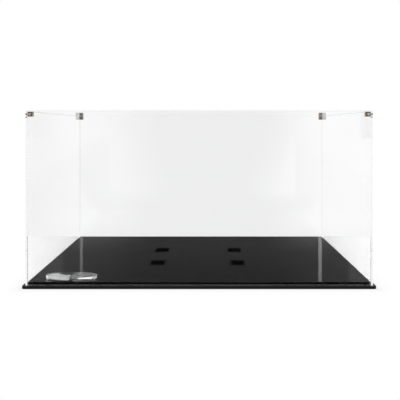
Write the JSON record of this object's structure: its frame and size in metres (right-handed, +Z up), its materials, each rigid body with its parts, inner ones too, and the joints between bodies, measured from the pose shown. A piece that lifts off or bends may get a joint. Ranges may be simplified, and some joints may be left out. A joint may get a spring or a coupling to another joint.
{
  "type": "football display case",
  "caption": "Wide clear acrylic cover with metal corner cubes over a two-tier gloss black base with stand sockets and an oval plaque.",
  "frame": {"origin": "centre of the base's underside", "axes": "+X to the right as seen from the front, along the long side; +Y to the back; +Z up. The front faces -Y."},
  "size_m": [0.58, 0.43, 0.293],
  "materials": {
    "clear_acrylic": "polished",
    "black_acrylic": "polished",
    "plaque_acrylic": "polished",
    "plaque_white": "satin",
    "cube_metal": "satin",
    "screw_steel": "satin",
    "magnet_nickel": "polished"
  },
  "bodies": {
    "base": {"lower_plate": "black_acrylic", "base_magnets": "magnet_nickel"},
    "deck": {"deck_plate": "black_acrylic", "deck_magnets": "magnet_nickel"},
    "plaque": {"plaque": "plaque_acrylic", "plaque_inlay": "plaque_white"},
    "cover": {"front_panel": "clear_acrylic", "back_panel": "clear_acrylic", "left_panel": "clear_acrylic", "right_panel": "clear_acrylic", "top_panel": "clear_acrylic", "front_left_cube": "cube_metal", "front_right_cube": "cube_metal", "back_left_cube": "cube_metal", "back_right_cube": "cube_metal", "front_screws": "screw_steel", "back_screws": "screw_steel", "left_screws": "screw_steel", "right_screws": "screw_steel"}
  },
  "joints": [
    {"name": "deck_lift", "type": "slide", "parent": "base", "child": "deck", "axis": [0, 0, 1], "range_m": [0, 0.03]},
    {"name": "plaque_lift", "type": "slide", "parent": "deck", "child": "plaque", "axis": [0, 0, 1], "range_m": [0, 0.03]},
    {"name": "cover_lift", "type": "slide", "parent": "base", "child": "cover", "axis": [0, 0, 1], "range_m": [0, 0.3]}
  ]
}
